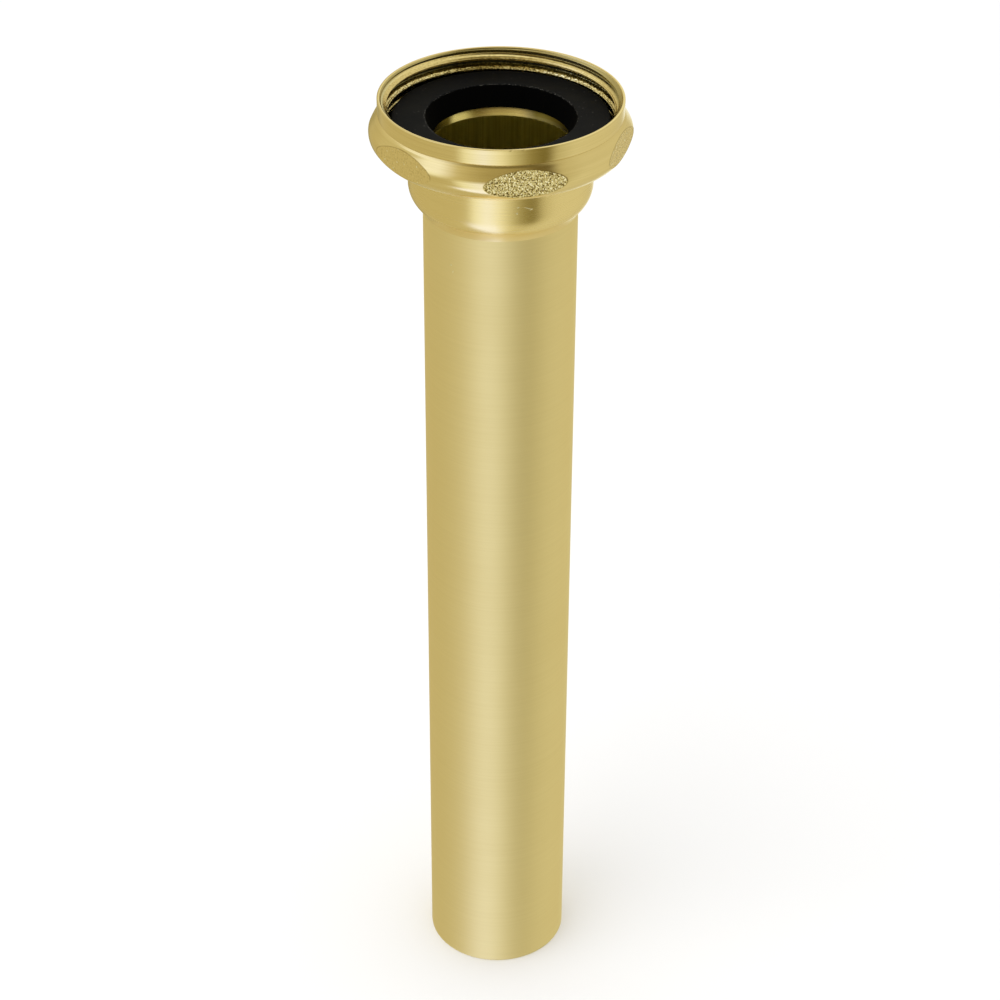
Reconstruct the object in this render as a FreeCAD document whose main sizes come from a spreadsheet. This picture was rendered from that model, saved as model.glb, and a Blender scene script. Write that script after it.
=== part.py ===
import FreeCAD, Part
import math
import os
import Sketcher
from FreeCAD import Vector

# Basin waste tail: a plain tube with a flanged collar brazed on its top end,
# a loose union nut held by the flange, and a flat sealing washer in the nut.
# Model frame: millimetres, +Z up along the tube, origin at the centre of the
# tube's cut lower end.

doc = FreeCAD.newDocument("tail_pipe")

# Driving dimensions -----------------------------------------------------

SIZES = [
    # drawn tube
    ("tube_outer_r", 16.0, "outside radius of the drawn tube"),
    ("tube_bore_r", 15.0, "bore radius of the drawn tube"),
    ("tube_length", 209.0, "from the cut end to the stop in the collar"),
    ("spigot_r", 15.75, "turned end of the tube, inside the collar's socket"),
    ("end_break_outer", 0.3, "broken outer edge at the cut end"),
    ("end_break_inner", 0.2, "broken inner edges of the bore"),
    # collar with its flange
    ("collar_low_z", 195.85, "foot of the brazed joint"),
    ("collar_low_r", 16.05, "outer radius of the brazed joint at its foot"),
    ("braze_hollow_r", 12.0, "hollow of the brazed joint"),
    ("crease_r", 17.28, "radius where the joint meets the collar's round"),
    ("collar_r", 19.0, "plain outside of the collar"),
    ("collar_round_z", 201.9, "height where the collar's lower round ends"),
    ("collar_round_in", 6.0, "radius of the collar's lower round"),
    ("flange_root", 0.5, "fillet under the flange"),
    ("flange_r", 22.0, "outside of the flange"),
    ("flange_under_z", 210.0, "seat under the flange"),
    ("flange_top_z", 211.5, "face that carries the washer"),
    ("flange_break", 0.15, "broken edges of the flange"),
    ("mouth_low_z", 209.1, "height where the bore starts to flare"),
    ("mouth_r", 16.33, "radius of the flare in the flange's top"),
    # washer
    ("washer_r", 22.2, "outside of the washer"),
    ("washer_top_z", 216.0, "sealing face"),
    ("washer_hole_top_r", 15.4, "hole at the sealing face"),
    ("washer_hole_low_r", 13.9, "hole at the flange"),
    ("washer_edge", 0.3, "round of the washer's outer edges"),
    ("washer_hole_edge", 0.2, "round of the hole's upper edge"),
    # union nut
    ("nut_low_z", 208.33, "lower face of the nut"),
    ("nut_hole_r", 19.7, "hole round the collar"),
    ("nut_hole_break", 0.2, "broken edges of that hole"),
    ("nut_shoulder_z", 209.9, "seat that lifts the flange"),
    ("relief_r", 22.8, "plain wall under the thread"),
    ("relief_top_z", 211.2, "where the thread's run-out begins"),
    ("thread_root_r", 23.9, "root of the internal thread"),
    ("thread_full_z", 216.05, "where the thread reaches its full depth"),
    ("rim_flat_inner_r", 24.4, "inner edge of the rim's flat, over the lead-in"),
    ("rim_break", 0.08, "broken outer edge of the rim"),
    ("rim_z", 220.25, "top of the rim, the whole height"),
    ("rim_r", 24.95, "turned outside of the rim"),
    ("rim_low_z", 216.95, "foot of the turned rim"),
    ("bulge_r", 26.8, "widest radius of the nut"),
    ("bulge_z", 213.1, "height of the widest place"),
    ("bulge_upper_round", 3.056, "round at the widest place"),
    ("bulge_lower_round", 6.484, "round down to the lower face"),
    ("flat_distance", 25.5, "cast flats, from the axis"),
    ("flat_count", 6, "cast flats round the bulge"),
    ("flat_turn", -79.0, "direction of the first flat, in degrees from +X"),
    ("flat_cut_length", 30.0, "length of the flats' cutting outline"),
    ("flat_cut_depth", 6.0, "depth of the flats' cutting outline"),
]

sheet = doc.addObject("Spreadsheet::Sheet", "dims")
for row, (alias, value, words) in enumerate(SIZES, start=1):
    sheet.set("A%d" % row, words)
    sheet.set("B%d" % row, str(value))
    sheet.setAlias("B%d" % row, alias)
doc.recompute()
S = {alias: float(value) for alias, value, words in SIZES}

# Helpers ----------------------------------------------------------------


def new_body(label):
    body = doc.addObject("PartDesign::Body", label)
    body.Label = label
    body.Placement = FreeCAD.Placement()
    return body


def origin_plane(body, role):
    return next(f for f in body.Origin.OriginFeatures if f.Role == role)


def new_sketch(body, name, role):
    sk = body.newObject("Sketcher::SketchObject", name)
    sk.AttachmentSupport = [(origin_plane(body, role), "")]
    sk.MapMode = "FlatFace"
    return sk


def bind(sk, constraint, formula):
    """Add a constraint and bind its value to the sheet."""
    i = sk.addConstraint(constraint)
    sk.setExpression("Constraints[%d]" % i, formula)
    return i


def ref(alias):
    return "<<dims>>." + alias


sheet.Label = "dims"


def value_of(formula):
    """The number that a formula of sheet cells gives, for a first placing."""
    total, sign = 0.0, 1.0
    for word in formula.replace("+", " + ").replace("-", " - ").split():
        if word in "+-":
            sign = 1.0 if word == "+" else -1.0
        else:
            total += sign * (S[word] if word in S else float(word))
    return total


def bound(formula):
    """The same formula, with its cells named in full."""
    words = formula.replace("+", " + ").replace("-", " - ").split()
    return " ".join(ref(w) if w in S else w for w in words)


def section(body, name, corners):
    """A closed half-section in the XZ plane, X being the radius.

    Each corner is (radius formula, height formula, link to the next corner);
    a formula may be None where the link's own shape fixes it, with a number
    for the first placing behind it. A link is None for a straight line, or
    (centre radius, centre height, turn) for an arc, turn +1 anticlockwise.
    """
    sk = new_sketch(body, name, "XZ_Plane")
    n = len(corners)
    pts = []
    for r, z, link in corners:
        rr = value_of(r) if isinstance(r, str) else r
        zz = value_of(z) if isinstance(z, str) else z
        pts.append(Vector(rr, zz, 0))
    for i, (r, z, link) in enumerate(corners):
        a, b = pts[i], pts[(i + 1) % n]
        if link is None:
            sk.addGeometry(Part.LineSegment(a, b), False)
        else:
            cr = value_of(link[0]) if isinstance(link[0], str) else link[0]
            cz = value_of(link[1]) if isinstance(link[1], str) else link[1]
            c = Vector(cr, cz, 0)
            radius = (a - c).Length
            ta = math.atan2(a.y - c.y, a.x - c.x)
            tb = math.atan2(b.y - c.y, b.x - c.x)
            circle = Part.Circle(c, Vector(0, 0, 1), radius)
            if link[2] > 0:
                sk.addGeometry(Part.ArcOfCircle(circle, ta, tb), False)
            else:
                sk.addGeometry(Part.ArcOfCircle(circle, tb, ta), False)

    def start(i):
        link = corners[i][2]
        return 1 if link is None or link[2] > 0 else 2

    def end(i):
        return 3 - start(i)

    # corners that a tangent joins are joined by that constraint itself
    tangents = {i for i, c in enumerate(corners) if c[2] is not None and len(c[2]) > 3 and "start" in c[2][3]}
    tangents |= {(i + 1) % n for i, c in enumerate(corners) if c[2] is not None and len(c[2]) > 3 and "end" in c[2][3]}
    for i in range(n):
        j = (i - 1) % n
        kind = "Tangent" if i in tangents else "Coincident"
        sk.addConstraint(Sketcher.Constraint(kind, j, end(j), i, start(i)))
    for i, (r, z, link) in enumerate(corners):
        if isinstance(r, str):
            bind(sk, Sketcher.Constraint("DistanceX", -1, 1, i, start(i), value_of(r)), bound(r))
        if isinstance(z, str):
            bind(sk, Sketcher.Constraint("DistanceY", -1, 1, i, start(i), value_of(z)), bound(z))
        if link is not None:
            if isinstance(link[0], str):
                bind(sk, Sketcher.Constraint("DistanceX", -1, 1, i, 3, value_of(link[0])), bound(link[0]))
            if isinstance(link[1], str):
                bind(sk, Sketcher.Constraint("DistanceY", -1, 1, i, 3, value_of(link[1])), bound(link[1]))
            if len(link) > 4:
                bind(sk, Sketcher.Constraint("Radius", i, value_of(link[4])), bound(link[4]))
    return sk


def revolve(body, name, sk):
    rev = body.newObject("PartDesign::Revolution", name)
    rev.Profile = (sk, [""])
    rev.ReferenceAxis = (sk, ["V_Axis"])
    rev.Angle = 360.0
    sk.Visibility = False
    return rev


def circle_edges(feature, wanted):
    """Names of the feature's circular edges at the given (radius, height) pairs."""
    names = []
    for radius, height in wanted:
        for i, e in enumerate(feature.Shape.Edges, start=1):
            if not isinstance(e.Curve, Part.Circle):
                continue
            c = e.Curve
            if abs(c.Radius - radius) < 1e-3 and abs(c.Center.z - height) < 1e-3:
                names.append("Edge%d" % i)
    return names


# Tube -------------------------------------------------------------------
# Drawn tube, cut to length, with its upper end turned to sit in the collar.

tube = new_body("tail_tube")
sk = new_sketch(tube, "tube_section", "XY_Plane")
for alias in ("tube_outer_r", "tube_bore_r"):
    g = sk.addGeometry(Part.Circle(Vector(0, 0, 0), Vector(0, 0, 1), S[alias]), False)
    sk.addConstraint(Sketcher.Constraint("Coincident", g, 3, -1, 1))
    bind(sk, Sketcher.Constraint("Radius", g, S[alias]), ref(alias))
tube_pad = tube.newObject("PartDesign::Pad", "tube_pad")
tube_pad.Profile = (sk, [""])
tube_pad.Length = S["tube_length"]
tube_pad.setExpression("Length", ref("tube_length"))
sk.Visibility = False
doc.recompute()

sk = section(tube, "spigot_section", [
    ("spigot_r", "collar_low_z", None),
    ("tube_outer_r + 1.0", "collar_low_z", None),
    ("tube_outer_r + 1.0", "tube_length + 1.0", None),
    ("spigot_r", "tube_length + 1.0", None),
])
spigot = tube.newObject("PartDesign::Groove", "tube_spigot")
spigot.Profile = (sk, [""])
spigot.ReferenceAxis = (sk, ["V_Axis"])
spigot.Angle = 360.0
sk.Visibility = False
doc.recompute()

outer_break = tube.newObject("PartDesign::Chamfer", "cut_end_break")
outer_break.Base = (spigot, circle_edges(spigot, [(S["tube_outer_r"], 0.0)]))
outer_break.Size = S["end_break_outer"]
outer_break.setExpression("Size", ref("end_break_outer"))
doc.recompute()
inner_break = tube.newObject("PartDesign::Chamfer", "bore_break")
inner_break.Base = (outer_break, circle_edges(outer_break, [(S["tube_bore_r"], 0.0)]))
inner_break.Size = S["end_break_inner"]
inner_break.setExpression("Size", ref("end_break_inner"))
tube.Tip = inner_break
doc.recompute()

# Collar -----------------------------------------------------------------
# Turned collar: socket for the tube, rounded lower shoulder with the hollow
# of the brazed joint under it, plain neck, and the flange at the top.

collar = new_body("flanged_collar")
sk = section(collar, "collar_section", [
    # hollow of the brazed joint, from its thin foot to the crease
    ("collar_low_r", "collar_low_z", (26.615, 190.159, -1, "", "braze_hollow_r")),
    ("crease_r", 197.695, ("collar_r - collar_round_in", "collar_round_z", +1)),
    ("collar_r", "collar_round_z", None),
    ("collar_r", "flange_under_z - flange_root", ("collar_r + flange_root", "flange_under_z - flange_root", -1)),
    ("collar_r + flange_root", 210.0, None),
    ("flange_r - flange_break", "flange_under_z", None),
    ("flange_r", "flange_under_z + flange_break", None),
    ("flange_r", "flange_top_z - flange_break", None),
    ("flange_r - flange_break", "flange_top_z", None),
    ("mouth_r", "flange_top_z", None),
    ("tube_bore_r", "mouth_low_z", None),
    ("tube_bore_r", "tube_length", None),
    ("spigot_r", "tube_length", None),
    ("spigot_r", "collar_low_z", None),
])
collar_turn = revolve(collar, "collar_turning", sk)
collar.Tip = collar_turn
doc.recompute()

# Washer -----------------------------------------------------------------
# Thick flat washer whose hole narrows from the sealing face to the flange.

washer = new_body("sealing_washer")
sk = section(washer, "washer_section", [
    ("washer_hole_low_r", "flange_top_z", None),
    ("washer_r", "flange_top_z", None),
    ("washer_r", "washer_top_z", None),
    ("washer_hole_top_r", "washer_top_z", None),
])
washer_disc = revolve(washer, "washer_disc", sk)
doc.recompute()
washer_round = washer.newObject("PartDesign::Fillet", "washer_edges")
washer_round.Base = (washer_disc, circle_edges(washer_disc, [
    (S["washer_r"], S["flange_top_z"]), (S["washer_r"], S["washer_top_z"])]))
washer_round.Radius = S["washer_edge"]
washer_round.setExpression("Radius", ref("washer_edge"))
doc.recompute()
washer_hole = washer.newObject("PartDesign::Fillet", "washer_hole_edge")
washer_hole.Base = (washer_round, circle_edges(washer_round, [
    (S["washer_hole_top_r"], S["washer_top_z"])]))
washer_hole.Radius = S["washer_hole_edge"]
washer_hole.setExpression("Radius", ref("washer_hole_edge"))
washer.Tip = washer_hole
doc.recompute()

# Union nut --------------------------------------------------------------
# Cast blank turned on its rim and bore. The bore is at the thread's root; its
# lower end narrows where the thread runs out. A seat inside the lower face
# lifts the flange. Six flats are cast round the bulge.

nut = new_body("union_nut")
sk = section(nut, "nut_section", [
    ("nut_hole_r + nut_hole_break", "nut_low_z", None),
    (20.78, 208.33, (20.78, 214.81, +1, "start", "bulge_lower_round")),
    (26.39, 211.57, ("bulge_r - bulge_upper_round", "bulge_z", +1, "start end", "bulge_upper_round")),
    (26.34, 214.71, None),
    ("rim_r", "rim_low_z", None),
    ("rim_r", "rim_z - rim_break", None),
    ("rim_r - rim_break", "rim_z", None),
    ("rim_flat_inner_r", "rim_z", None),
    ("thread_root_r", "rim_z - rim_flat_inner_r + thread_root_r", None),
    ("thread_root_r", "thread_full_z", None),
    ("relief_r", "relief_top_z", None),
    ("relief_r", "nut_shoulder_z", None),
    ("nut_hole_r + nut_hole_break", "nut_shoulder_z", None),
    ("nut_hole_r", "nut_shoulder_z - nut_hole_break", None),
    ("nut_hole_r", "nut_low_z + nut_hole_break", None),
])
# the lower face is level
sk.addConstraint(Sketcher.Constraint("Horizontal", 0))
nut_turn = revolve(nut, "nut_turning", sk)
doc.recompute()

sk = new_sketch(nut, "flat_outline", "XY_Plane")
sk.AttachmentOffset = FreeCAD.Placement(
    Vector(0, 0, S["nut_low_z"] - 2.0), FreeCAD.Rotation(Vector(0, 0, 1), S["flat_turn"]))
sk.setExpression("AttachmentOffset.Rotation.Angle", ref("flat_turn"))
sk.setExpression("AttachmentOffset.Base.z", ref("nut_low_z") + " - 2")
d, half, depth = S["flat_distance"], S["flat_cut_length"] / 2, S["flat_cut_depth"]
corner = [Vector(d, -half, 0), Vector(d + depth, -half, 0), Vector(d + depth, half, 0), Vector(d, half, 0)]
for i in range(4):
    sk.addGeometry(Part.LineSegment(corner[i], corner[(i + 1) % 4]), False)
for i in range(4):
    sk.addConstraint(Sketcher.Constraint("Coincident", i, 2, (i + 1) % 4, 1))
sk.addConstraint(Sketcher.Constraint("Horizontal", 0))
sk.addConstraint(Sketcher.Constraint("Horizontal", 2))
sk.addConstraint(Sketcher.Constraint("Vertical", 1))
sk.addConstraint(Sketcher.Constraint("Symmetric", 3, 1, 3, 2, -1))
bind(sk, Sketcher.Constraint("DistanceX", -1, 1, 3, 2, d), ref("flat_distance"))
bind(sk, Sketcher.Constraint("DistanceX", 0, 1, 0, 2, depth), ref("flat_cut_depth"))
bind(sk, Sketcher.Constraint("DistanceY", 3, 2, 3, 1, 2 * half), ref("flat_cut_length"))
doc.recompute()
volume_before = nut_turn.Shape.Volume
flat = nut.newObject("PartDesign::Pocket", "cast_flat")
flat.Profile = (sk, [""])
flat.Type = 0
flat.Length = S["rim_z"] - S["nut_low_z"] + 4.0
flat.setExpression("Length", ref("rim_z") + " - " + ref("nut_low_z") + " + 4")
flat.Reversed = True
sk.Visibility = False
doc.recompute()
flats = nut.newObject("PartDesign::PolarPattern", "cast_flats")
flats.Originals = [flat]
flats.Axis = (origin_plane(nut, "Z_Axis"), [""])
flats.Angle = 360.0
flats.Occurrences = int(S["flat_count"])
flats.setExpression("Occurrences", ref("flat_count"))
nut.Tip = flats
doc.recompute()

# Tests ------------------------------------------------------------------

PIECES = [tube, collar, washer, nut]
for obj in doc.Objects:
    bad = [state for state in obj.State if state in ("Invalid", "Error")]
    if bad:
        raise RuntimeError("%s is %s" % (obj.Name, bad))
    if obj.isDerivedFrom("Sketcher::SketchObject"):
        free = obj.solve()
        if free != 0:
            raise RuntimeError("%s does not solve: %s" % (obj.Name, free))
for body in PIECES:
    shape = body.Shape
    if shape.isNull() or not shape.isValid() or len(shape.Solids) != 1:
        raise RuntimeError("%s has no valid single solid" % body.Label)
one = volume_before - flat.Shape.Volume
six = volume_before - nut.Shape.Volume
if not 0.5 < one or abs(six - S["flat_count"] * one) > 0.01 * six:
    raise RuntimeError("the flats cut %.3f and %.3f mm3" % (one, six))

os.makedirs("parts", exist_ok=True)
for body in PIECES:
    box = body.Shape.optimalBoundingBox(True, False)
    print("%-16s %9.2f mm3  x %.3f..%.3f  y %.3f..%.3f  z %.3f..%.3f" % (
        body.Label, body.Shape.Volume, box.XMin, box.XMax, box.YMin, box.YMax, box.ZMin, box.ZMax))
    body.Shape.exportStep("parts/%s.step" % body.Label)
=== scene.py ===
import math

import bpy
import numpy as np
from mathutils import Matrix


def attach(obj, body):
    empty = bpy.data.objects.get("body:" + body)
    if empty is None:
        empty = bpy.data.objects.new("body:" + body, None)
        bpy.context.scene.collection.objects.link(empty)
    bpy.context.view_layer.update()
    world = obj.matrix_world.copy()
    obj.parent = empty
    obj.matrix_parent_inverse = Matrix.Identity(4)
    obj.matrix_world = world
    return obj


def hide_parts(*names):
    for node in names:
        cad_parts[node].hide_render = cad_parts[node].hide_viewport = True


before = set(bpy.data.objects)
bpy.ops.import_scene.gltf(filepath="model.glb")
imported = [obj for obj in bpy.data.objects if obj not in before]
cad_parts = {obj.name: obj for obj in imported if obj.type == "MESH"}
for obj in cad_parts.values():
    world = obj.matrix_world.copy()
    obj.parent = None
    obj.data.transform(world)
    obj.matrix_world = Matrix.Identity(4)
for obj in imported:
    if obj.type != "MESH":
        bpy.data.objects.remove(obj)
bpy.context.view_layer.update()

MM = 0.001

# Sizes, in millimetres, in the frame of the construction ------------------

NUT_HOLE_R, NUT_LOW_Z, NUT_SEAT_Z = 19.7, 208.33, 209.9
RELIEF_R, RELIEF_TOP_Z = 22.8, 211.2
ROOT_R, FULL_Z = 24.15, 216.05
RIM_Z, RIM_R, RIM_LOW_Z, RIM_IN_R = 220.25, 24.95, 216.95, 24.4
FLAT_D, FLAT_TURN = 25.5, -79.0
PITCH, CREST_R, THREAD_START = 2.309, 22.95, 215.42


# Mesh helpers -------------------------------------------------------------


def make_object(name, verts, faces, material, smooth=True):
    """A mesh object from points in millimetres."""
    me = bpy.data.meshes.new(name)
    me.from_pydata((np.asarray(verts) * MM).tolist(), [], faces)
    me.validate()
    me.polygons.foreach_set("use_smooth", [smooth] * len(me.polygons))
    me.materials.append(material)
    me.update()
    ob = bpy.data.objects.new(name, me)
    bpy.context.scene.collection.objects.link(ob)
    return ob


def ring_faces(rows, cols, close_rows=True, flip=False, diagonal=None):
    """Faces of a grid that closes round its columns, and round its rows if asked."""
    faces = []
    last = rows if close_rows else rows - 1
    for j in range(last):
        a, b = j * cols, ((j + 1) % rows) * cols
        for i in range(cols):
            k = (i + 1) % cols
            q = (a + i, a + k, b + k, b + i)
            if diagonal is not None and diagonal[j, i]:
                # split along a corner line of the surface
                if diagonal[j, i] > 0:
                    t = ((q[0], q[1], q[2]), (q[0], q[2], q[3]))
                else:
                    t = ((q[0], q[1], q[3]), (q[1], q[2], q[3]))
                faces.extend(tuple(reversed(f)) if flip else f for f in t)
            else:
                faces.append(tuple(reversed(q)) if flip else q)
    return faces


def arc(cr, cz, radius, a0, a1, n, first=True):
    """Points on an arc of a section, angles in degrees."""
    pts = []
    for i in range(0 if first else 1, n + 1):
        a = math.radians(a0 + (a1 - a0) * i / n)
        pts.append((cr + radius * math.cos(a), cz + radius * math.sin(a)))
    return pts


def line(a, b, n, first=True):
    """Points on a straight run of a section."""
    return [(a[0] + (b[0] - a[0]) * i / n, a[1] + (b[1] - a[1]) * i / n)
            for i in range(0 if first else 1, n + 1)]


def cell_noise(u, v, cell, seed, spread=0.85):
    """Distance to the nearest and second nearest of points strewn one to a cell, in cells."""
    rng = np.random.default_rng(seed)
    n = 256
    jx, jy = rng.random((n, n)) * spread, rng.random((n, n)) * spread
    gu, gv = u / cell, v / cell
    iu, iv = np.floor(gu).astype(int), np.floor(gv).astype(int)
    f1 = np.full(gu.shape, 9.0)
    f2 = np.full(gu.shape, 9.0)
    for du in (-1, 0, 1):
        for dv in (-1, 0, 1):
            ku, kv = (iu + du) % n, (iv + dv) % n
            px, py = iu + du + jx[ku, kv], iv + dv + jy[ku, kv]
            d = np.hypot(gu - px, gv - py)
            f2 = np.where(d < f1, f1, np.minimum(f2, d))
            f1 = np.minimum(f1, d)
    return f1, f2


def wave_noise(a, seed, low, high):
    """A smooth, closed wobble round a circle, about -1 to 1."""
    rng = np.random.default_rng(seed)
    out, total = np.zeros_like(a), 0.0
    for k in range(low, high + 1):
        w = 1.0 / k ** 0.5
        out += w * np.cos(k * a + rng.random() * 2 * math.pi)
        total += w * w
    return out / math.sqrt(total)


# Materials ----------------------------------------------------------------


class Nodes:
    """Short hands for building a material's nodes."""

    def __init__(self, name):
        self.mat = bpy.data.materials.new(name)
        self.mat.use_nodes = True
        self.tree = self.mat.node_tree
        self.bsdf = next(n for n in self.tree.nodes if n.type == "BSDF_PRINCIPLED")
        self.coord = self.tree.nodes.new("ShaderNodeTexCoord").outputs["Object"]

    def add(self, kind, **props):
        n = self.tree.nodes.new(kind)
        for k, v in props.items():
            setattr(n, k, v)
        return n

    def put(self, value, socket):
        if isinstance(value, (int, float, tuple)):
            socket.default_value = value
        else:
            self.tree.links.new(value, socket)

    def math(self, op, a, b=None, c=None, clamp=False):
        n = self.add("ShaderNodeMath", operation=op, use_clamp=clamp)
        self.put(a, n.inputs[0])
        if b is not None:
            self.put(b, n.inputs[1])
        if c is not None:
            self.put(c, n.inputs[2])
        return n.outputs[0]

    def xyz(self, vector=None):
        n = self.add("ShaderNodeSeparateXYZ")
        self.put(vector or self.coord, n.inputs[0])
        return n.outputs[0], n.outputs[1], n.outputs[2]

    def combine(self, x, y, z):
        n = self.add("ShaderNodeCombineXYZ")
        for s, v in zip(n.inputs, (x, y, z)):
            self.put(v, s)
        return n.outputs[0]

    def scaled(self, sx, sy, sz, vector=None):
        n = self.add("ShaderNodeVectorMath", operation="MULTIPLY")
        self.put(vector or self.coord, n.inputs[0])
        n.inputs[1].default_value = (sx, sy, sz)
        return n.outputs[0]

    def noise(self, vector, scale=1.0, detail=2.0, rough=0.5, distortion=0.0):
        n = self.add("ShaderNodeTexNoise")
        self.put(vector, n.inputs["Vector"])
        n.inputs["Scale"].default_value = scale
        n.inputs["Detail"].default_value = detail
        n.inputs["Roughness"].default_value = rough
        n.inputs["Distortion"].default_value = distortion
        return n.outputs[0]

    def remap(self, value, a, b, c, d, smooth=False):
        n = self.add("ShaderNodeMapRange", interpolation_type="SMOOTHSTEP" if smooth else "LINEAR")
        self.put(value, n.inputs[0])
        for s, v in zip(list(n.inputs)[1:5], (a, b, c, d)):
            self.put(v, s)
        return n.outputs[0]

    def mix_color(self, factor, a, b):
        n = self.add("ShaderNodeMix", data_type="RGBA")
        self.put(factor, n.inputs["Factor"])
        ins = [s for s in n.inputs if s.type == "RGBA"]
        self.put(a, ins[0])
        self.put(b, ins[1])
        return next(s for s in n.outputs if s.type == "RGBA")

    def bump(self, height, distance, strength=1.0, normal=None):
        n = self.add("ShaderNodeBump")
        n.inputs["Strength"].default_value = strength
        n.inputs["Distance"].default_value = distance
        self.put(height, n.inputs["Height"])
        if normal is not None:
            self.put(normal, n.inputs["Normal"])
        return n.outputs[0]

    def mark(self, deg, height, long, wide, tilt):
        """A small oval on a round face, 1 at its middle: its direction, height, half length, half width and tilt."""
        x, y, z = self.xyz()
        c, s = math.cos(math.radians(deg)), math.sin(math.radians(deg))
        ct, st = math.cos(math.radians(tilt)), math.sin(math.radians(tilt))
        side = self.math("MULTIPLY_ADD", y, c, self.math("MULTIPLY", x, -s))
        out = self.math("MULTIPLY_ADD", y, s, self.math("MULTIPLY", x, c))
        over = self.math("SUBTRACT", z, height)
        a = self.math("MULTIPLY_ADD", side, ct / long, self.math("MULTIPLY", over, st / long))
        b = self.math("MULTIPLY_ADD", over, ct / wide, self.math("MULTIPLY", side, -st / wide))
        reach = self.math("MULTIPLY_ADD", a, a, self.math("MULTIPLY", b, b))
        return self.math("MULTIPLY", self.remap(reach, 0.5, 1.2, 1.0, 0.0, True), self.math("GREATER_THAN", out, 0.0))

    def polar(self):
        """Angle round the axis, in turns, and distance from it."""
        x, y, z = self.xyz()
        turn = self.math("DIVIDE", self.math("ARCTAN2", y, x), 2 * math.pi)
        return turn, self.math("SQRT", self.math("ADD", self.math("MULTIPLY", x, x), self.math("MULTIPLY", y, y))), z


BRASS = (0.85, 0.70, 0.335, 1.0)
BRASS_WARM = (0.80, 0.63, 0.27, 1.0)


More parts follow.
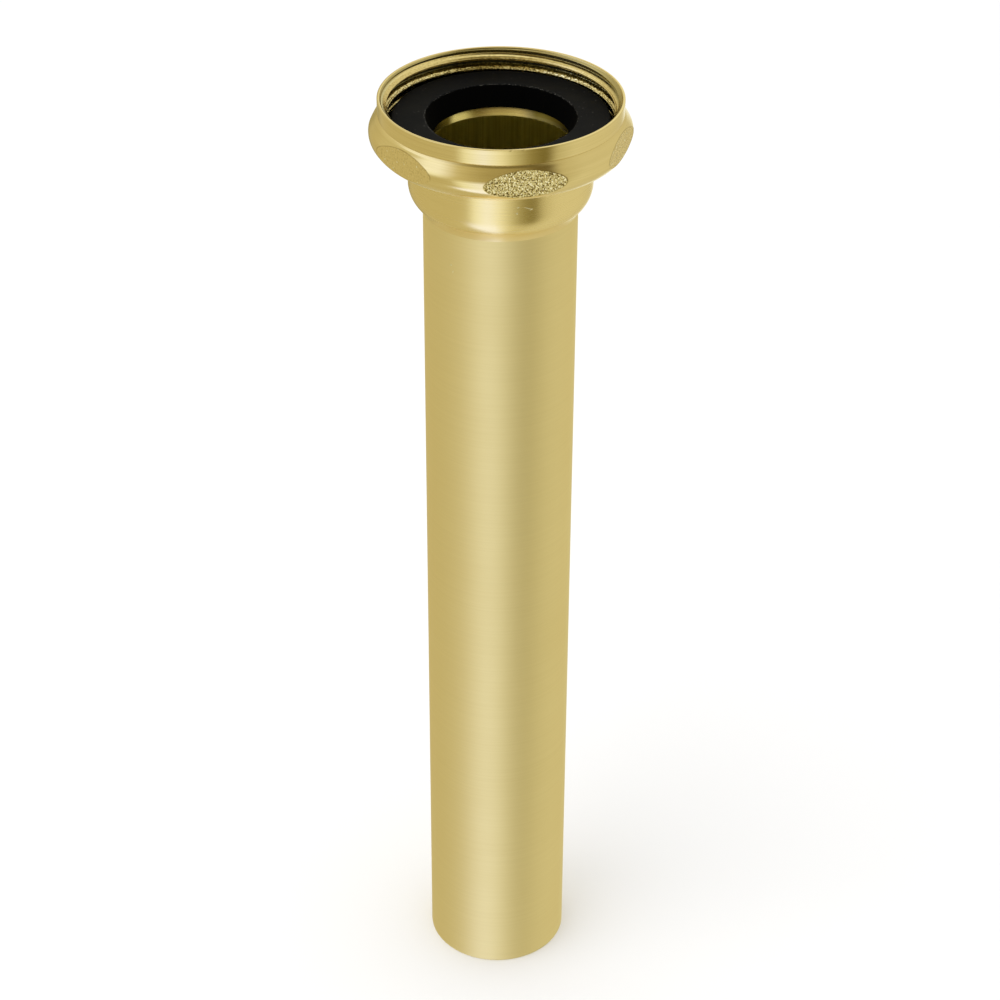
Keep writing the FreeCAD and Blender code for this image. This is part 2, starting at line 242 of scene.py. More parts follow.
def brass(name, rough, spread, turned, drawn, grain, anisotropic=0.0, bore=None, lined=0.0, pit_shade_and_glint=0.0, dull_and_painted_sheen=None,
          along=False, root=None, tones=None, rugged=0.0, mouth=False,
          marks=(), specks=0.0, flat_edge_shadow=False):
    """Brass. turned: lines round the axis; drawn: lines along it; grain: fine speckle; all are bump heights in metres.
    bore: radius, in metres, inside which the metal has the duller, drawn look of a bore. lined: how far the turned
    lines darken and lighten the metal, as painted shade in their grooves and painted highlight on their ridges.
    mottled: how far painted shade in the pits of its grain and painted glints on its tops change its colour.
    dull: height under which the metal is roughened and its colour lightened as painted reflection of the bright
    metal nearby, and how far.
    along: the finish runs along the axis, so it softens what it mirrors round the axis. root: two radii between
    which the metal towards the thread's root is darkened as painted shade; the chamfer at the rim is darkened as
    painted shade too, and the lower turns get dark flecks and painted glints. tones: the metal's two colours.
    rugged: bump height of the lumps of a rough cast face. mouth: the bore opens in a flare, which gets painted
    highlight
    and painted shade. marks: small dents, each a direction in degrees, a height, half its length and width, and its
    tilt.
    specks: sparse bright points, painted glints.
    outline: a painted shadow line darkens the turned metal along the upper edges of the flats."""
    m = Nodes(name)
    normal = None
    # lines left by the tool, long round the axis and very short along it
    lines = m.noise(m.scaled(45.0, 45.0, 5200.0), 1.0, 3.0, 0.6)
    broad = m.noise(m.scaled(22.0, 22.0, 900.0), 1.0, 2.0, 0.5)
    if turned:
        both = m.math("MULTIPLY_ADD", broad, 0.6, lines)
        normal = m.bump(both, turned, 1.0)
    if drawn:
        pulled = m.noise(m.scaled(2400.0, 2400.0, 9.0), 1.0, 3.0, 0.55)
        normal = m.bump(pulled, drawn, 1.0, normal)
    if grain:
        speck = m.noise(m.coord, 3200.0, 2.0, 0.6)
        normal = m.bump(speck, grain, 1.0, normal)
    cloud = m.noise(m.coord, 60.0, 3.0, 0.5)
    level = m.math("ADD", m.math("MULTIPLY", lines, 0.5), m.math("MULTIPLY", cloud, 0.5))
    roughness = m.remap(level, 0.3, 0.7, rough - spread, rough + spread)
    color = m.mix_color(m.remap(cloud, 0.35, 0.75, 0.0, 0.30), *(tones or (BRASS, BRASS_WARM)))
    if lined:
        fine = m.noise(m.scaled(30.0, 30.0, 2600.0), 1.0, 2.0, 0.6)
        if mouth:
            # the lines fade out on the rounded shoulder
            x, y, z = m.xyz()
            fine = m.math("MULTIPLY_ADD", m.math("SUBTRACT", fine, 0.42), m.remap(z, 0.2022, 0.2042, 0.15, 1.0, True), 0.42)
        # painted shade in the turned lines' grooves, then painted highlight on their ridges
        color = m.mix_color(m.remap(fine, 0.40, 0.64, 0.0, lined), color, (0.62, 0.49, 0.19, 1.0))
        color = m.mix_color(m.remap(fine, 0.44, 0.30, 0.0, lined * 0.7), color, (0.97, 0.86, 0.50, 1.0))
    if rugged:
        lumps = m.noise(m.coord, 2700.0, 2.0, 0.6)
        normal = m.bump(lumps, rugged, 1.0, normal)
    if pit_shade_and_glint:
        pits = m.noise(m.coord, 2900.0 if rugged else 2700.0, 1.0 if rugged else 2.0, 0.6)
        low, high = ((0.525, 0.59), (0.52, 0.45)) if rugged else ((0.50, 0.66), (0.40, 0.28))
        # painted shade in the pits of the grain, then painted glints on its tops
        color = m.mix_color(m.remap(pits, *low, 0.0, pit_shade_and_glint), color, (0.20, 0.14, 0.03, 1.0) if rugged else (0.48, 0.37, 0.13, 1.0))
        color = m.mix_color(m.remap(pits, *high, 0.0, pit_shade_and_glint), color, (1.0, 0.90, 0.50, 1.0) if rugged else (1.0, 0.92, 0.55, 1.0))
    if flat_edge_shadow:
        # a painted shadow line along the upper edges of the flats, where they sit a little recessed
        x, y, z = m.xyz()
        nearest = -1.0
        for k in range(6):
            turn = math.radians(FLAT_TURN + 60 * k)
            over = m.math("MULTIPLY_ADD", x, math.cos(turn), m.math("MULTIPLY", y, math.sin(turn)))
            nearest = m.math("MAXIMUM", over, nearest)
        edge = m.math("MULTIPLY", m.remap(nearest, FLAT_D * MM - 0.00013, FLAT_D * MM - 0.00003, 0.0, 0.55),
                      m.math("MULTIPLY", m.remap(z, 0.2125, 0.2135, 0.0, 1.0), m.remap(z, 0.2169, 0.2168, 0.0, 1.0)))
        color = m.mix_color(edge, color, (0.40, 0.30, 0.10, 1.0))
    if specks:
        # sparse painted glints
        bits = m.noise(m.coord, 1500.0, 0.0, 0.5)
        color = m.mix_color(m.remap(bits, 0.735, 0.78, 0.0, specks), color, (1.0, 0.97, 0.72, 1.0))
    if root:
        turn, radius, z = m.polar()
        # painted shade towards the outer of the two radii (the thread's root), below the rim
        hollow = m.math("MULTIPLY", m.remap(radius, root[0], root[1], 0.0, 1.0, True), m.remap(z, 0.2187, 0.2193, 1.0, 0.0, True))
        color = m.mix_color(hollow, color, (0.46, 0.41, 0.20, 1.0))
        # painted shade on the chamfer at the rim
        lead = m.math("MULTIPLY", m.remap(radius, 0.02432, 0.02438, 1.0, 0.0, True), m.remap(z, 0.2193, 0.2196, 0.0, 0.75, True))
        color = m.mix_color(lead, color, (0.42, 0.36, 0.16, 1.0))
        # on the torn lower turns: dark flecks, then painted glints
        torn = m.remap(z, 0.2173, 0.2168, 0.0, 1.0, True)
        flecks = m.noise(m.coord, 3000.0, 1.0, 0.5)
        color = m.mix_color(m.math("MULTIPLY", torn, m.remap(flecks, 0.50, 0.58, 0.0, 0.9)), color, (0.20, 0.16, 0.06, 1.0))
        color = m.mix_color(m.math("MULTIPLY", torn, m.remap(flecks, 0.44, 0.38, 0.0, 0.9)), color, (1.0, 0.94, 0.60, 1.0))
    if dull_and_painted_sheen:
        x, y, z = m.xyz()
        # painted reflection: below the height the colour is lightened to stand in for light mirrored from the bright
        # metal nearby; the metal is also roughened
        under = m.remap(z, dull_and_painted_sheen[0], dull_and_painted_sheen[0] + 0.0006, dull_and_painted_sheen[1], 0.0, True)
        color = m.mix_color(under, color, (1.0, 0.91, 0.62, 1.0))
        roughness = m.math("ADD", m.math("MULTIPLY", under, 0.16), roughness)
    if bore:
        turn, radius, z = m.polar()
        inside = m.remap(radius, bore - 0.00002, bore + 0.00002, 1.0, 0.0)
        streak = m.noise(m.combine(m.math("MULTIPLY", turn, 190.0), 0.0, m.math("MULTIPLY", z, 22.0)), 1.0, 3.0, 0.6)
        color = m.mix_color(inside, color, m.mix_color(m.remap(streak, 0.35, 0.68, 0.0, 1.0), (0.78, 0.71, 0.28, 1.0), (0.98, 0.90, 0.42, 1.0)))
        if mouth:
            # the flare over the bore: painted highlight at its foot and on its left side, painted shade on its right
            # side and at its far left
            x, y, z = m.xyz()
            flare = m.math("MULTIPLY", m.remap(radius, 0.0164, 0.0163, 0.0, 1.0), m.remap(z, 0.20905, 0.20912, 0.0, 1.0))
            foot = m.math("MULTIPLY", flare, m.remap(z, 0.20975, 0.20955, 0.0, 1.0, True))
            color = m.mix_color(m.math("MULTIPLY", flare, m.remap(x, 0.0030, 0.0075, 0.0, 1.0, True)), color, (0.17, 0.125, 0.02, 1.0))
            color = m.mix_color(m.math("MULTIPLY", foot, m.remap(x, 0.0015, 0.0060, 1.0, 0.05, True)), color, (1.0, 0.87, 0.43, 1.0))
            color = m.mix_color(m.math("MULTIPLY", flare, m.remap(x, -0.0035, -0.0065, 0.0, 1.0, True)), color, (1.0, 0.87, 0.36, 1.0))
            color = m.mix_color(m.math("MULTIPLY", flare, m.remap(x, -0.0094, -0.0110, 0.0, 1.0, True)), color, (0.17, 0.125, 0.02, 1.0))
        roughness = m.math("ADD", m.math("MULTIPLY", roughness, m.math("SUBTRACT", 1.0, inside)),
                           m.math("MULTIPLY", m.remap(streak, 0.3, 0.7, 0.32, 0.40), inside))
    for mark in marks:
        dent = m.mark(*mark)
        normal = m.bump(m.math("SUBTRACT", 1.0, dent), 0.00010, 1.0, normal)
        color = m.mix_color(m.math("MULTIPLY", dent, 0.9), color, (1.0, 0.94, 0.62, 1.0))
    m.put(roughness, m.bsdf.inputs["Roughness"])
    m.put(color, m.bsdf.inputs["Base Color"])
    m.bsdf.inputs["Metallic"].default_value = 1.0
    m.bsdf.inputs["Specular Tint"].default_value = (0.97, 0.93, 0.82, 1.0)
    if anisotropic:
        m.bsdf.inputs["Anisotropic"].default_value = anisotropic
        m.bsdf.inputs["Anisotropic Rotation"].default_value = 0.0 if along else 0.25
        t = m.add("ShaderNodeTangent", direction_type="RADIAL", axis="Z")
        m.tree.links.new(t.outputs[0], m.bsdf.inputs["Tangent"])
    if normal is not None:
        m.put(normal, m.bsdf.inputs["Normal"])
    return m


tube_mat = brass("brass_drawn", 0.43, 0.02, 0.0000006, 0.0, 0.0000012, 0.70, 0.0155, 0.05, along=True,
                 tones=((0.905, 0.765, 0.385, 1.0), (0.87, 0.72, 0.335, 1.0)),
                 marks=((-128.6, 0.18868, 0.00022, 0.00020, 0.0), (-126.9, 0.1873, 0.00035, 0.00012, 60.0))).mat
collar_mat = brass("brass_turned", 0.27, 0.03, 0.0000013, 0.0, 0.0000006, 0.5, 0.01505, 0.08, 0.0, (0.1980, 0.28), mouth=True,
                   tones=((0.885, 0.732, 0.355, 1.0), (0.835, 0.66, 0.29, 1.0)),
                   marks=((-79.5, 0.2048, 0.00022, 0.00016, 0.0), (-73.3, 0.20445, 0.00088, 0.00011, -22.0),
                          (-71.2, 0.2041, 0.00030, 0.00014, 30.0), (-80.1, 0.2035, 0.00018, 0.00022, 0.0))).mat
nut_mat = brass("brass_nut", 0.18, 0.03, 0.0000032, 0.0, 0.0000008, 0.4, None, 0.16, 0.0, (0.2099, 1.0), flat_edge_shadow=True).mat
cast_mat = brass("brass_cast", 0.13, 0.03, 0.0, 0.0, 0.00003, 0.0, None, 0.0, 0.95, rugged=0.00023,
                 tones=((1.0, 0.815, 0.35, 1.0), (1.0, 0.815, 0.35, 1.0))).mat
fine_mat = brass("brass_cast_fine", 0.17, 0.04, 0.0, 0.0, 0.00007, 0.0, None, 0.0, 0.38, specks=0.9,
                 tones=((0.88, 0.72, 0.345, 1.0), (0.84, 0.67, 0.30, 1.0))).mat
thread_mat = brass("brass_thread", 0.17, 0.05, 0.000005, 0.0, 0.00003, 0.0, None, 0.0, 0.45, root=(0.0233, 0.0240)).mat
bore_mat = brass("brass_nut_bore", 0.20, 0.05, 0.000005, 0.0, 0.00002, 0.0, None, 0.10, 0.30, root=(0.0205, 0.0212)).mat


def rubber():
    m = Nodes("rubber")
    turn, radius, z = m.polar()
    grain = m.noise(m.coord, 2600.0, 3.0, 0.65)
    patch = m.noise(m.coord, 130.0, 4.0, 0.6)
    dust = m.noise(m.coord, 1900.0, 1.0, 0.4)
    # the sealing face is dulled and paler; the cut wall of the hole is rougher, and its colour is darkened to deep
    # black as painted shade
    face = m.remap(z, 0.21582, 0.21593, 0.0, 1.0)
    # specks of dust along the hole's upper edge
    edge = m.math("MULTIPLY", m.remap(radius, 0.01562, 0.01552, 0.0, 1.0, True), m.remap(z, 0.21572, 0.21585, 0.0, 1.0, True))
    fine = m.noise(m.coord, 4200.0, 1.0, 0.4)
    m.put(m.bump(grain, 0.00002, 0.7, m.bump(patch, 0.00006, 0.5)), m.bsdf.inputs["Normal"])
    rough = m.remap(patch, 0.3, 0.7, 0.46, 0.62)
    m.put(m.math("ADD", rough, m.math("MULTIPLY", m.math("SUBTRACT", 1.0, face), 0.3)), m.bsdf.inputs["Roughness"])
    base = m.mix_color(m.remap(patch, 0.3, 0.7, 0.0, 1.0), (0.0016, 0.0017, 0.0022, 1.0), (0.0036, 0.0038, 0.0048, 1.0))
    base = m.mix_color(m.remap(dust, 0.74, 0.80, 0.0, 0.25), base, (0.20, 0.19, 0.17, 1.0))
    # painted shade: the hole's wall is set near black
    base = m.mix_color(face, (0.0006, 0.0006, 0.0007, 1.0), base)
    specks = m.math("MULTIPLY", edge, m.remap(fine, 0.58, 0.70, 0.0, 0.7))
    m.put(m.mix_color(specks, base, (0.20, 0.19, 0.16, 1.0)), m.bsdf.inputs["Base Color"])
    m.bsdf.inputs["Specular IOR Level"].default_value = 0.05
    return m.mat


rubber_mat = rubber()


# Tube and collar: the construction's own shapes ----------------------------

for node, mat in (("tail_tube", tube_mat), ("flanged_collar", collar_mat)):
    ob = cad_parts[node]
    ob.data.materials.clear()
    ob.data.materials.append(mat)
    for p in ob.data.polygons:
        p.material_index = 0


# Union nut ------------------------------------------------------------------


def nut_section():
    """Section of the nut, from the hole's lower edge, outwards and over the rim, back to the hole."""
    s = [(NUT_HOLE_R, 208.56), (NUT_HOLE_R + 0.02, 208.51), (NUT_HOLE_R + 0.17, 208.36), (NUT_HOLE_R + 0.21, NUT_LOW_Z)]
    s += line((20.0, NUT_LOW_Z), (20.6, NUT_LOW_Z), 2)
    s += arc(20.775, 214.814, 6.484, -90, -44, 15)
    s += arc(20.775, 214.814, 6.484, -44, -30, 12, False)
    s += arc(23.744, 213.1, 3.056, -30, 31.85, 24, False)
    s += line((26.34, 214.713), (25.50, 216.08), 12, False)
    s += [(25.38, 216.29), (25.27, 216.49), (25.18, 216.62), (25.08, 216.75), (24.985, 216.87)]
    s += [(24.93, 216.955), (24.86, 216.97), (24.85, 217.01), (24.90, 217.045), (24.945, 217.07)]
    s += line((24.95, 217.12), (24.95, 219.9), 4) + [(24.95, 219.97), (24.95, 220.03), (24.95, 220.08)]
    s += [(24.95, 220.13), (24.945, 220.17), (24.92, 220.21), (24.885, 220.235), (24.85, 220.248), (24.80, RIM_Z)]
    s += [(24.60, RIM_Z), (RIM_IN_R + 0.03, RIM_Z), (RIM_IN_R + 0.005, 220.235), (RIM_IN_R, 220.20), (RIM_IN_R - 0.01, 220.15)]
    s += [(RIM_IN_R - 0.03, 220.13), (ROOT_R + 0.04, 219.90), (ROOT_R + 0.01, 219.86), (ROOT_R, 219.80), (ROOT_R, 219.5)]
    s += line((ROOT_R, 219.0), (ROOT_R, 216.5), 3)
    s += [(ROOT_R, FULL_Z), (23.35, 213.6), (RELIEF_R, RELIEF_TOP_Z), (RELIEF_R, 210.0), (22.77, 209.92), (22.7, NUT_SEAT_Z)]
    s += [(21.3, NUT_SEAT_Z), (19.95, NUT_SEAT_Z), (19.88, 209.88), (19.72, 209.72), (NUT_HOLE_R, 209.66)]
    s = np.array(s)
    s[:, 0] = np.minimum(s[:, 0], 26.796)
    return s


def build_nut():
    sec = nut_section()
    rows = len(sec)
    # columns: close together over each flat, wider between
    local = np.concatenate([np.linspace(-20.1, 20.1, 119), np.linspace(21.0, 39.0, 17)])
    turns, psi = [], []
    for k in range(6):
        turns.append(np.radians(FLAT_TURN + 60 * k + local))
        psi.append(np.radians(np.where(local > 30, local - 60, local)))
    phi, psi = np.concatenate(turns), np.concatenate(psi)
    flat_no = np.repeat(np.arange(6), len(local))
    cols = len(phi)
    r = np.repeat(sec[:, :1], cols, 1)
    z = np.repeat(sec[:, 1:], cols, 1)
    top = int(np.argmax(sec[:, 1] >= 216.9))
    g = r * np.cos(psi)[None, :] - FLAT_D
    g[top:] = -9
    # move the nearest row onto the edge of each flat, so that the edge is sharp
    edge = np.zeros((rows, cols), bool)
    for i in range(cols):
        for j in np.nonzero(np.sign(g[:top - 1, i]) != np.sign(g[1:top, i]))[0]:
            f = g[j, i] / (g[j, i] - g[j + 1, i])
            jj = j if f < 0.5 else j + 1
            r[jj, i] = sec[j, 0] + f * (sec[j + 1, 0] - sec[j, 0])
            z[jj, i] = sec[j, 1] + f * (sec[j + 1, 1] - sec[j, 1])
            edge[jj, i] = True
            g[jj, i] = 0.0
    g[edge] = 0.0
    # the cast face: grains of metal, a little recessed in the flat
    u = FLAT_D * np.tan(psi)[None, :] + np.zeros_like(r)
    depth = np.clip(g / 0.03, 0, 1)
    shape = np.zeros_like(r)
    for k in range(6):
        pick = flat_no == k
        f1, f2 = cell_noise(u[:, pick] + 40, z[:, pick] - 150, 0.50, 11 + k)
        h1, h2 = cell_noise(u[:, pick] + 60, z[:, pick] - 120, 0.27, 31 + k)
        grain = np.clip(1.0 - (f1 / 0.62) ** 2, -0.4, 1) * 0.7 + np.clip(1.0 - (h1 / 0.6) ** 2, -0.4, 1) * 0.3
        height = (0.19, 0.075, 0.10, 0.12, 0.10, 0.085)[k]
        shape[:, pick] = (grain - 0.95) * height
    rho = np.where(g > 0, (FLAT_D + shape * depth) / np.cos(psi)[None, :], r)
    # two small nicks in the rim's front edge
    for where, wide, deep in ((-85.5, 0.55, 0.10), (-79.7, 0.75, 0.08)):
        near = np.clip(1.0 - np.abs(np.degrees(phi) - where) / wide, 0, 1)[None, :]
        lip = np.clip((z - 220.0) / 0.2, 0, 1) * (r > 24.83)
        z = z - lip * near * deep
        rho = rho - lip * near * deep
    ca, sa = np.cos(phi)[None, :], np.sin(phi)[None, :]
    verts = np.stack([rho * ca, rho * sa, z], -1).reshape(-1, 3)
    # corner lines run along the mesh's own edges
    diag = np.zeros((rows, cols), int)
    nxt = np.roll(edge, -1, 1)
    up = np.roll(edge, -1, 0)
    upnxt = np.roll(nxt, -1, 0)
    diag[edge & upnxt & ~nxt & ~up] = 1
    diag[nxt & up & ~edge & ~upnxt] = -1
    faces = ring_faces(rows, cols, True, False, diag)
    ob = make_object("union_nut_body", verts, faces, nut_mat)
    ob.data.materials.append(cast_mat)
    ob.data.materials.append(bore_mat)
    ob.data.materials.append(fine_mat)
    # faces of the flats take the cast finish
    inside = (g > 0).reshape(-1)
    for p in ob.data.polygons:
        if sum(inside[v] for v in p.vertices) * 2 >= len(p.vertices) and all(inside[v] or edge.reshape(-1)[v] for v in p.vertices):
            away = math.degrees(math.atan2(p.center.y, p.center.x)) - FLAT_TURN
            p.material_index = 1 if abs(away) < 30 else 3
        else:
            c = p.center
            if math.hypot(c.x, c.y) < 0.02435 and c.z > 0.2101:
                p.material_index = 2
    return ob, edge


def build_thread():
    """The thread's ridge, one closed helical bar let into the nut's bore."""
    depth = ROOT_R - CREST_R
    # half section from the crest: offset along the axis, depth below the crest; rounded crest, broad nose, flat flank
    half = [(0.0, 0.0), (0.06, 0.004), (0.10, 0.03), (0.14, 0.16), (0.24, 0.18), (0.34, 0.25), (0.43, 0.36), (0.51, 0.47),
            (0.57, 0.57), (0.615, 0.68), (0.655, 0.80), (0.70, 0.93), (0.745, 1.04), (0.785, 1.12), (0.81, 1.17),
            (0.84, depth - 0.005), (0.90, depth + 0.03)]
    pts = [(-a, b) for a, b in reversed(half[1:])] + half
    off = np.array([a for a, b in pts] + [0.6, 0.0, -0.6])
    dep = np.array([b for a, b in pts] + [depth + 0.16, depth + 0.18, depth + 0.16])
    n = len(off)
    rng = np.random.default_rng(5)
    turns = [(211.9, 215.6, 1.5), (215.6, 221.2, 0.5)]
    a = []
    for z0, z1, step in turns:
        b0, b1 = [(z - THREAD_START) / PITCH * 360 for z in (z0, z1)]
        a.append(np.arange(b0, b1, step))
    a = np.radians(np.concatenate(a))
    steps = len(a) - 1
    zc = THREAD_START + PITCH * a / (2 * math.pi)
    fade = np.clip((a - a[0]) / math.radians(60), 0, 1)
    z = zc[:, None] + off[None, :]
    # chatter of the cutter on the nose and flanks
    live = np.clip(1.0 - np.abs(dep - 0.35) / 0.9, 0, 1)[None, :] * (a > math.radians(20))[:, None]
    torn = np.clip((217.3 - z) / 1.2, 0, 1)
    chat = (rng.random((len(a), n)) - 0.5) * (0.05 + 0.09 * torn) * live
    drift = (wave_noise(a, 3, 40, 120) * 0.014)[:, None] * live
    r = CREST_R + dep[None, :] + (1 - fade[:, None]) * 1.1 + chat + drift
    is_front = np.arange(n) < len(pts)
    z = np.minimum(z, RIM_Z - 0.16)
    cone = RIM_IN_R - 0.05 - (RIM_Z - 0.12 - z)
    hide = np.clip((z - 219.86) / 0.10, 0, 1) * 0.08
    r = np.where(is_front[None, :], np.maximum(r, cone + hide), np.maximum(r, cone + 0.14))
    r = np.minimum(r, 24.62)
    verts = np.stack([r * np.cos(a)[:, None], r * np.sin(a)[:, None], z], -1).reshape(-1, 3)
    faces = []
    for j in range(steps):
        for i in range(n):
            k = (i + 1) % n
            faces.append((j * n + i, j * n + k, (j + 1) * n + k, (j + 1) * n + i))
    faces.append(tuple(reversed(range(n))))
    faces.append(tuple(range(steps * n, steps * n + n)))
    return make_object("union_nut_thread", verts, faces, thread_mat)


def build_washer():
    n = 480
    a = np.linspace(0, 2 * math.pi, n, endpoint=False)
    sec = [(13.9, 211.5), (14.3, 211.5), (18.0, 211.5), (21.7, 211.5), (22.05, 211.56), (22.17, 211.7), (22.2, 211.9),
           (22.2, 213.5), (22.2, 215.5), (22.18, 215.75), (22.08, 215.92), (21.9, 215.985), (21.7, 216.0), (21.2, 216.0),
           (20.0, 216.0), (18.8, 216.0), (17.6, 216.0), (16.6, 216.0), (15.95, 216.0), (15.62, 215.99), (15.46, 215.93),
           (15.38, 215.83), (15.30, 215.6), (15.0, 214.8), (14.6, 213.6), (14.2, 212.4), (13.95, 211.65)]
    sec = np.array(sec)
    r = np.repeat(sec[:, :1], n, 1)
    z = np.repeat(sec[:, 1:], n, 1)
    hole = np.clip((17.0 - r) / 1.4, 0, 1) * np.clip((z - 212.5) / 2.5, 0, 1)
    r = r + hole * (0.10 * wave_noise(a, 8, 2, 5) + 0.035 * wave_noise(a, 9, 7, 30))[None, :]
    rim = np.clip((r - 21.4) / 0.7, 0, 1)
    r = r - rim * (0.03 + 0.03 * wave_noise(a, 4, 3, 14))[None, :]
    flat = (z > 215.9) & (r > 15.9) & (r < 21.6)
    z = z - flat * (0.02 + 0.015 * wave_noise(a, 6, 2, 9)[None, :])
    verts = np.stack([r * np.cos(a)[None, :], r * np.sin(a)[None, :], z], -1).reshape(-1, 3)
    return make_object("sealing_washer_ring", verts, ring_faces(len(sec), n), rubber_mat)


nut, nut_edge = build_nut()
thread = build_thread()
washer = build_washer()

for ob, body, slot in ((nut, "nut", "nut_brass"), (thread, "nut", "nut_brass"), (washer, "washer", "washer_rubber")):
    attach(ob, body)
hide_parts("union_nut")
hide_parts("sealing_washer")


# Floor, light and camera -----------------------------------------------------

floor_me = bpy.data.meshes.new("floor")
S = 6.0
floor_me.from_pydata([(-S, -S, 0), (S, -S, 0), (S, S, 0), (-S, S, 0)], [], [(0, 1, 2, 3)])
floor = bpy.data.objects.new("floor", floor_me)
bpy.context.scene.collection.objects.link(floor)
fm = Nodes("floor_pale")
fm.bsdf.inputs["Base Color"].default_value = (0.93, 0.93, 0.93, 1.0)
fm.bsdf.inputs["Roughness"].default_value = 0.9
fm.bsdf.inputs["Specular IOR Level"].default_value = 0.1
floor_me.materials.append(fm.mat)
floor.visible_glossy = False

world = bpy.data.worlds.new("studio")
bpy.context.scene.world = world
world.use_nodes = True
world.cycles.sampling_method = "NONE"
wt = world.node_tree
wt.nodes.clear()


def wnode(kind, **props):
    n = wt.nodes.new(kind)
    for k, v in props.items():
        setattr(n, k, v)
    return n


def wput(value, socket):
    if isinstance(value, (int, float, tuple)):
        socket.default_value = value
    else:
        wt.links.new(value, socket)


def wmath(op, a, b=None, c=None, clamp=False):
    n = wnode("ShaderNodeMath", operation=op, use_clamp=clamp)
    wput(a, n.inputs[0])
    if b is not None:
        wput(b, n.inputs[1])
    if c is not None:
        wput(c, n.inputs[2])
    return n.outputs[0]


def wramp(value, stops):
    """Colours along a value from 0 to 1."""
    n = wnode("ShaderNodeValToRGB")
    ramp = n.color_ramp
    ramp.interpolation = "LINEAR"
    while len(ramp.elements) < len(stops):
        ramp.elements.new(0.5)
    for e, (p, c) in zip(ramp.elements, stops):
        e.position = p
    for e, (p, c) in zip(ramp.elements, stops):
        e.position = p
        e.color = (*c, 1.0)
    wput(value, n.inputs[0])
    return n.outputs[0]


def wmix(factor, a, b):
    n = wnode("ShaderNodeMix", data_type="RGBA")
    wput(factor, n.inputs["Factor"])
    ins = [s for s in n.inputs if s.type == "RGBA"]
    wput(a, ins[0])
    wput(b, ins[1])
    return next(s for s in n.outputs if s.type == "RGBA")


def wsmooth(value, a, b):
    n = wnode("ShaderNodeMapRange", interpolation_type="SMOOTHSTEP")
    wput(value, n.inputs[0])
    for s, v in zip(list(n.inputs)[1:5], (a, b, 0.0, 1.0)):
        wput(v, s)
    return n.outputs[0]


direction = wnode("ShaderNodeTexCoord").outputs["Generated"]
sep = wnode("ShaderNodeSeparateXYZ")
wput(direction, sep.inputs[0])
dx, dy, dz = sep.outputs[0], sep.outputs[1], sep.outputs[2]
# bearing of a direction: 0.5 in front, less to the left and more to the right
bearing = wmath("ADD", wmath("DIVIDE", wmath("ARCTAN2", dx, wmath("MULTIPLY", dy, -1.0)), 2 * math.pi), 0.5)


def at(deg):
    return 0.5 + deg / 360.0


LEFT = (0.60, 0.545, 0.345)
BRIGHT = (1.07, 1.14, 1.35)
DARK = (0.20, 0.165, 0.05)
RIGHT = (0.755, 0.73, 0.58)

lower = wramp(bearing, [
    (0.0, (0.98, 0.98, 0.88)),
    (at(-172), (0.50, 0.46, 0.27)),
    (at(-158), (0.42, 0.38, 0.20)),
    (at(-147), (0.60, 0.55, 0.36)),
    (at(-130), LEFT),
    (at(-42), LEFT),
    (at(-33), (1.0, 1.03, 0.95)),
    (at(-22), BRIGHT),
    (at(-16), (1.09, 1.17, 1.62)),
    (at(-10), BRIGHT),
    (at(0), (1.0, 1.02, 0.95)),
    (at(12), (0.66, 0.64, 0.46)),
    (at(26), (0.34, 0.30, 0.14)),
    (at(40), DARK),
    (at(44), DARK),
    (at(54), (0.62, 0.59, 0.42)),
    (at(72), RIGHT),
    (at(112), (0.74, 0.71, 0.55)),
    (at(150), (0.68, 0.65, 0.49)),
    (at(163), (1.02, 1.05, 0.98)),
    (at(172), (1.05, 1.10, 1.10)),
    (1.0, (0.98, 0.98, 0.88)),
])
upper = wramp(bearing, [
    (0.0, (0.90, 0.88, 0.76)),
    (at(-168), (0.44, 0.40, 0.23)),
    (at(-156), (0.66, 0.62, 0.45)),
    (at(-125), (0.74, 0.70, 0.52)),
    (at(-90), (0.66, 0.62, 0.42)),
    (at(-77), (0.70, 0.66, 0.48)),
    (at(-69), (1.11, 1.17, 1.26)),
    (at(-57), (1.08, 1.13, 1.20)),
    (at(-40), (0.68, 0.62, 0.41)),
    (at(-15), (0.51, 0.45, 0.25)),
    (at(12), (0.43, 0.37, 0.20)),
    (at(32), (0.19, 0.15, 0.065)),
    (at(46), (0.14, 0.11, 0.04)),
    (at(56), (0.64, 0.60, 0.43)),
    (at(80), (0.74, 0.71, 0.56)),
    (at(152), (0.74, 0.71, 0.56)),
    (at(166), (1.04, 1.08, 1.04)),
    (1.0, (0.90, 0.88, 0.76)),
])
upper_left = wramp(bearing, [
    (0.0, (0.90, 0.88, 0.76)),
    (at(-168), (0.44, 0.40, 0.23)),
    (at(-156), (0.66, 0.62, 0.45)),
    (at(-128), (0.76, 0.72, 0.55)),
    (at(-112), (1.04, 1.05, 1.02)),
    (at(-80), (1.13, 1.20, 1.46)),
    (at(-57), (1.11, 1.17, 1.40)),
    (at(-40), (0.68, 0.62, 0.41)),
    (at(-15), (0.51, 0.45, 0.25)),
    (at(12), (0.43, 0.37, 0.20)),
    (at(32), (0.19, 0.15, 0.065)),
    (at(46), (0.14, 0.11, 0.04)),
    (at(56), (0.64, 0.60, 0.43)),
    (at(80), (0.74, 0.71, 0.56)),
    (at(152), (0.74, 0.71, 0.56)),
    (at(166), (1.04, 1.08, 1.04)),
    (1.0, (0.90, 0.88, 0.76)),
])
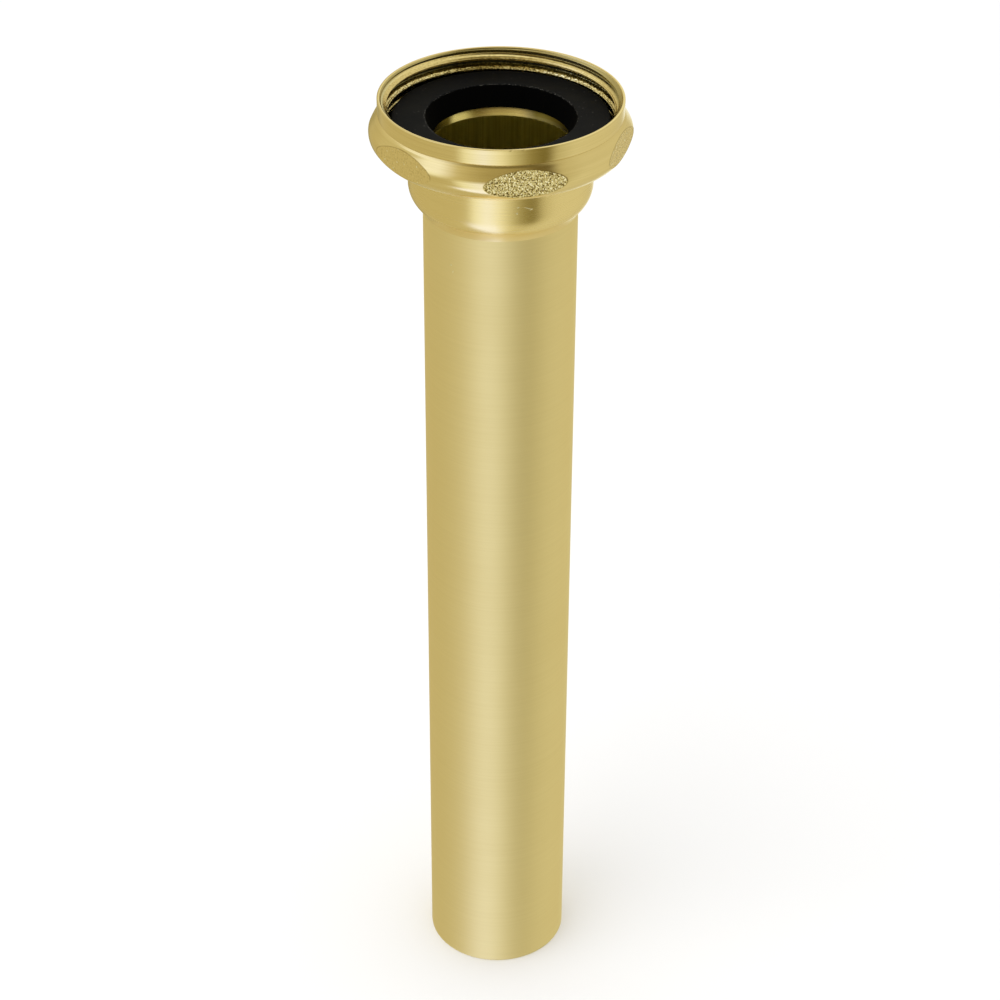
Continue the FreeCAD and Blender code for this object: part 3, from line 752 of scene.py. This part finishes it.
high = wramp(bearing, [
    (0.0, (0.90, 0.88, 0.74)),
    (at(-110), (0.74, 0.70, 0.54)),
    (at(-60), (0.55, 0.50, 0.34)),
    (at(-30), (0.21, 0.175, 0.085)),
    (at(35), (0.15, 0.125, 0.055)),
    (at(62), (0.50, 0.46, 0.30)),
    (at(110), (0.80, 0.78, 0.62)),
    (1.0, (0.90, 0.88, 0.74)),
])
ground = wramp(bearing, [
    (0.0, (0.66, 0.635, 0.48)),
    (at(-120), LEFT),
    (at(-60), (0.62, 0.57, 0.37)),
    (at(-52), (0.78, 0.75, 0.60)),
    (at(-46), (1.17, 1.28, 1.96)),
    (at(-9), (1.17, 1.27, 1.86)),
    (at(3), (1.03, 1.05, 0.98)),
    (at(15), (0.79, 0.76, 0.57)),
    (at(40), (0.62, 0.58, 0.40)),
    (at(58), (0.70, 0.67, 0.50)),
    (at(76), RIGHT),
    (at(120), (0.72, 0.69, 0.53)),
    (1.0, (0.66, 0.635, 0.48)),
])
zenith = (1.02, 1.02, 0.92, 1.0)
glossy = wmix(wsmooth(dz, -0.62, -0.80), lower, ground)
glossy = wmix(wsmooth(dz, -0.10, 0.32), glossy, upper)
glossy = wmix(wsmooth(dz, 0.36, 0.44), glossy, upper_left)
glossy = wmix(wsmooth(dz, 0.58, 0.78), glossy, high)
glossy = wmix(wsmooth(dz, 0.955, 0.99), glossy, zenith)
path = wnode("ShaderNodeLightPath")
soft_white = (1.0, 1.0, 1.0, 1.0)
shown = wmix(path.outputs["Is Glossy Ray"], soft_white, glossy)
bg = wnode("ShaderNodeBackground")
wput(shown, bg.inputs["Color"])
bg.inputs["Strength"].default_value = 1.0
out = wnode("ShaderNodeOutputWorld")
wt.links.new(bg.outputs[0], out.inputs[0])


def area(name, location, target, size, power):
    li = bpy.data.lights.new(name, "AREA")
    li.shape = "DISK"
    li.size = size
    li.energy = power
    ob = bpy.data.objects.new(name, li)
    bpy.context.scene.collection.objects.link(ob)
    loc, tgt = np.array(location, float), np.array(target, float)
    back = (loc - tgt) / np.linalg.norm(loc - tgt)
    right = np.cross((0, 0, 1), back)
    right /= np.linalg.norm(right)
    up = np.cross(back, right)
    ob.matrix_world = Matrix([[right[i], up[i], back[i], location[i]] for i in range(3)] + [[0, 0, 0, 1]])
    ob.visible_glossy = False
    ob.visible_camera = False
    return ob


area("key", (-0.7, -0.5, 1.5), (0, 0, 0.1), 1.2, 6.0)

# the photograph's own viewpoint
CAM = dict(f=2564.49, el=33.447, roll=0.306, dist=0.567184, tx=0.000212, tz=0.123306)
e, ro = math.radians(CAM["el"]), math.radians(CAM["roll"])
back = np.array([0, -math.cos(e), math.sin(e)])
right = np.array([1.0, 0, 0])
up = np.array([0, math.sin(e), math.cos(e)])
r2 = math.cos(ro) * right + math.sin(ro) * up
u2 = -math.sin(ro) * right + math.cos(ro) * up
place = np.array([CAM["tx"], 0, CAM["tz"]]) + back * CAM["dist"]
cam_data = bpy.data.cameras.new("camera")
cam_data.sensor_width = 36.0
cam_data.lens = CAM["f"] / 1000.0 * 36.0
cam_data.clip_start, cam_data.clip_end = 0.01, 50.0
cam = bpy.data.objects.new("camera", cam_data)
cam.matrix_world = Matrix([[r2[i], u2[i], back[i], place[i]] for i in range(3)] + [[0, 0, 0, 1]])
bpy.context.scene.collection.objects.link(cam)
bpy.context.scene.camera = cam

view = bpy.context.scene.view_settings
view.view_transform = "Standard"
view.look = "None"
view.exposure = 0.0
view.gamma = 1.0
